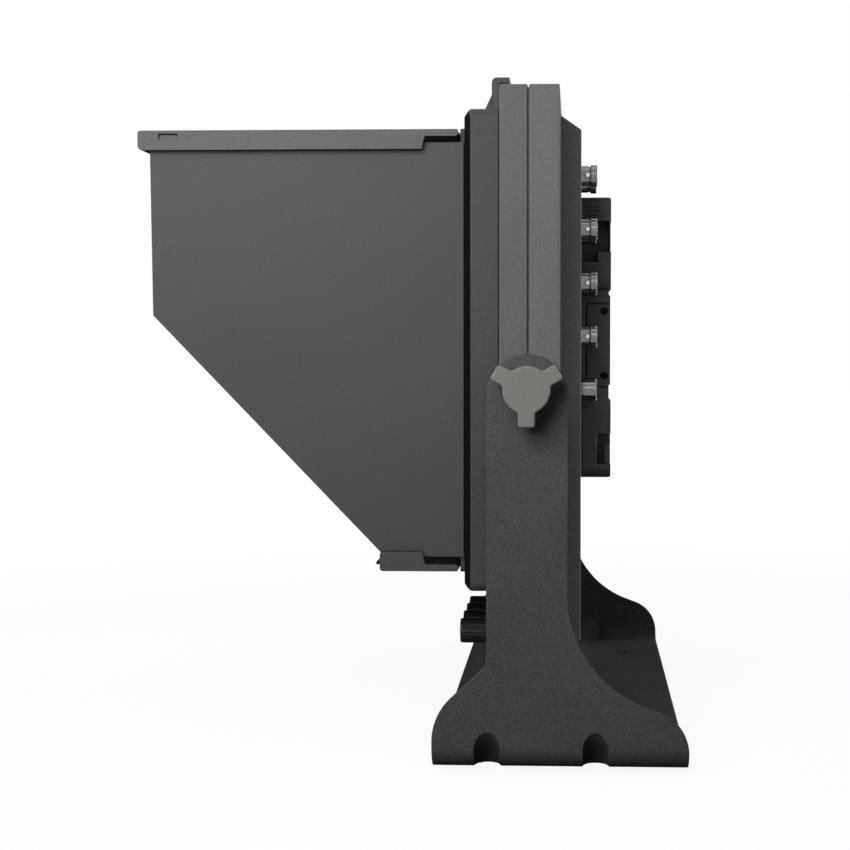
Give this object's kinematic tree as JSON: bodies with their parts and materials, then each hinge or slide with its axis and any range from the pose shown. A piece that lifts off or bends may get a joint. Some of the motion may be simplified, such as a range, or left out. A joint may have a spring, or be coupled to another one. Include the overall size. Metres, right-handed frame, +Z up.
{
  "type": "camera field monitor with sun hood",
  "caption": "Flat camera field monitor on a bent steel tilt stand, with a folding sun hood, coaxial and data sockets, a V-shaped battery channel and a threaded base.",
  "frame": {"origin": "centre of the threaded hole in the stand's base, at the underside of the base plate", "axes": "+X to the right for a viewer facing the screen, along the tilt axis; the screen faces -Y; +Z up"},
  "size_m": [0.3704, 0.2261, 0.2839],
  "materials": {
    "stand_paint": "fine textured black powder coat",
    "plated_steel": "zinc plated",
    "rubber": "moulded black rubber",
    "cast_knob": "cast and bead blasted, warm grey",
    "case_shell": "fine spark texture, charcoal",
    "screen_glass": "smooth, dark when off",
    "panel_body": "moulded",
    "sheet_aluminium": "mill finish",
    "circuit_board": "green solder mask",
    "brass": "turned",
    "black_screw": "black oxide",
    "connector_plate": "fine matt black",
    "nickel": "bright nickel plate",
    "port_steel": "tin plated",
    "black_plastic": "semi-gloss moulded",
    "plate_plastic": "glass-filled nylon",
    "contact_brass": "gold flashed",
    "led_lens": "clear lens",
    "key_rubber": "moulded",
    "knob_plastic": "fluted, satin",
    "hood_plastic": "fine texture, charcoal"
  },
  "bodies": {
    "stand": {"stand_bracket": "stand_paint", "tripod_insert": "plated_steel", "foot_pads": "rubber", "clamp_washers": "plated_steel"},
    "monitor": {"case_front_shell": "case_shell", "case_rear_shell": "case_shell", "screen_glass": "screen_glass", "lcd_panel": "panel_body", "chassis_plate": "sheet_aluminium", "main_board": "circuit_board", "power_board": "circuit_board", "board_standoffs": "brass", "heat_sink": "sheet_aluminium", "key_board": "circuit_board", "encoder_board": "circuit_board", "knob_encoders": "plated_steel", "speaker": "panel_body", "pivot_inserts": "brass", "pivot_washers": "rubber", "case_screws": "black_screw", "connector_panel": "connector_plate", "io_panel": "connector_plate", "power_panel": "connector_plate", "bnc_jacks": "nickel", "bnc_nuts": "nickel", "aux_socket": "nickel", "hdmi_ports": "port_steel", "usb_port": "port_steel", "lan_port": "port_steel", "audio_jacks": "black_plastic", "dc_in_socket": "black_plastic", "switch_bezel": "black_plastic", "v_mount_plate": "plate_plastic", "v_mount_contacts": "contact_brass", "v_mount_screws": "plated_steel", "status_led": "led_lens"},
    "tilt_knob_right": {"tilt_knob_right": "cast_knob"},
    "tilt_knob_left": {"tilt_knob_left": "cast_knob"},
    "picture_knob_1": {"picture_knob_1": "knob_plastic"},
    "picture_knob_2": {"picture_knob_2": "knob_plastic"},
    "picture_knob_3": {"picture_knob_3": "knob_plastic"},
    "picture_knob_4": {"picture_knob_4": "knob_plastic"},
    "function_key_1": {"function_key_1": "key_rubber"},
    "function_key_2": {"function_key_2": "key_rubber"},
    "function_key_3": {"function_key_3": "key_rubber"},
    "function_key_4": {"function_key_4": "key_rubber"},
    "function_key_5": {"function_key_5": "key_rubber"},
    "power_key": {"power_key": "key_rubber"},
    "power_rocker": {"power_rocker": "black_plastic"},
    "v_mount_release": {"v_mount_release": "plate_plastic"},
    "hood": {"hood_frame": "hood_plastic", "hood_hinge_ring": "hood_plastic", "hood_hinge_pins": "plated_steel", "hood_hook_pads": "rubber"},
    "hood_top": {"hood_top": "hood_plastic"},
    "hood_bottom": {"hood_bottom": "hood_plastic", "hood_bumpers": "rubber"},
    "hood_side_left": {"hood_side_left": "hood_plastic"},
    "hood_side_right": {"hood_side_right": "hood_plastic"}
  },
  "joints": [
    {"name": "monitor_tilt", "type": "hinge", "parent": "stand", "child": "monitor", "pos_m": [0, -0.0134, 0.1546], "axis": [1, 0, 0], "range_deg": [-30, 45]},
    {"name": "tilt_knob_right_turn", "type": "hinge", "parent": "monitor", "child": "tilt_knob_right", "pos_m": [0.161, -0.0134, 0.1546], "axis": [1, 0, 0], "range_deg": [0, 360]},
    {"name": "tilt_knob_left_turn", "type": "hinge", "parent": "monitor", "child": "tilt_knob_left", "pos_m": [-0.161, -0.0134, 0.1546], "axis": [-1, 0, 0], "range_deg": [0, 360]},
    {"name": "picture_knob_1_turn", "type": "hinge", "parent": "monitor", "child": "picture_knob_1", "pos_m": [0.117, -0.0251, 0.0493], "axis": [0, -1, 0], "continuous": true},
    {"name": "picture_knob_2_turn", "type": "hinge", "parent": "monitor", "child": "picture_knob_2", "pos_m": [0.093, -0.0251, 0.0493], "axis": [0, -1, 0], "continuous": true},
    {"name": "picture_knob_3_turn", "type": "hinge", "parent": "monitor", "child": "picture_knob_3", "pos_m": [0.069, -0.0251, 0.0493], "axis": [0, -1, 0], "continuous": true},
    {"name": "picture_knob_4_turn", "type": "hinge", "parent": "monitor", "child": "picture_knob_4", "pos_m": [0.045, -0.0251, 0.0493], "axis": [0, -1, 0], "continuous": true},
    {"name": "function_key_1_press", "type": "slide", "parent": "monitor", "child": "function_key_1", "axis": [0, 1, 0], "range_m": [0, 0.0005], "stiffness_N_per_m": 500},
    {"name": "function_key_2_press", "type": "slide", "parent": "monitor", "child": "function_key_2", "axis": [0, 1, 0], "range_m": [0, 0.0005], "stiffness_N_per_m": 500},
    {"name": "function_key_3_press", "type": "slide", "parent": "monitor", "child": "function_key_3", "axis": [0, 1, 0], "range_m": [0, 0.0005], "stiffness_N_per_m": 500},
    {"name": "function_key_4_press", "type": "slide", "parent": "monitor", "child": "function_key_4", "axis": [0, 1, 0], "range_m": [0, 0.0005], "stiffness_N_per_m": 500},
    {"name": "function_key_5_press", "type": "slide", "parent": "monitor", "child": "function_key_5", "axis": [0, 1, 0], "range_m": [0, 0.0005], "stiffness_N_per_m": 500},
    {"name": "power_key_press", "type": "slide", "parent": "monitor", "child": "power_key", "axis": [0, 1, 0], "range_m": [0, 0.0005], "stiffness_N_per_m": 500},
    {"name": "power_rocker_tip", "type": "hinge", "parent": "monitor", "child": "power_rocker", "pos_m": [-0.101, 0.001, 0.0792], "axis": [1, 0, 0], "range_deg": [0, 16]},
    {"name": "v_mount_release_press", "type": "slide", "parent": "monitor", "child": "v_mount_release", "axis": [-1, 0, 0], "range_m": [0, 0.003], "stiffness_N_per_m": 400},
    {"name": "hood_lift_off", "type": "slide", "parent": "monitor", "child": "hood", "axis": [0, 0, 1], "range_m": [0, 0.22]},
    {"name": "hood_top_fold", "type": "hinge", "parent": "hood", "child": "hood_top", "pos_m": [0, -0.04325, 0.2588], "axis": [-1, 0, 0], "range_deg": [0, 90]},
    {"name": "hood_bottom_fold", "type": "hinge", "parent": "hood", "child": "hood_bottom", "pos_m": [0, -0.04325, 0.0809], "axis": [1, 0, 0], "range_deg": [0, 60]},
    {"name": "hood_side_right_fold", "type": "hinge", "parent": "hood", "child": "hood_side_right", "pos_m": [0.1495, -0.043, 0.16985], "axis": [0, 0, -1], "range_deg": [0, 88]},
    {"name": "hood_side_left_fold", "type": "hinge", "parent": "hood", "child": "hood_side_left", "pos_m": [-0.1495, -0.043, 0.16985], "axis": [0, 0, 1], "range_deg": [0, 88]}
  ]
}
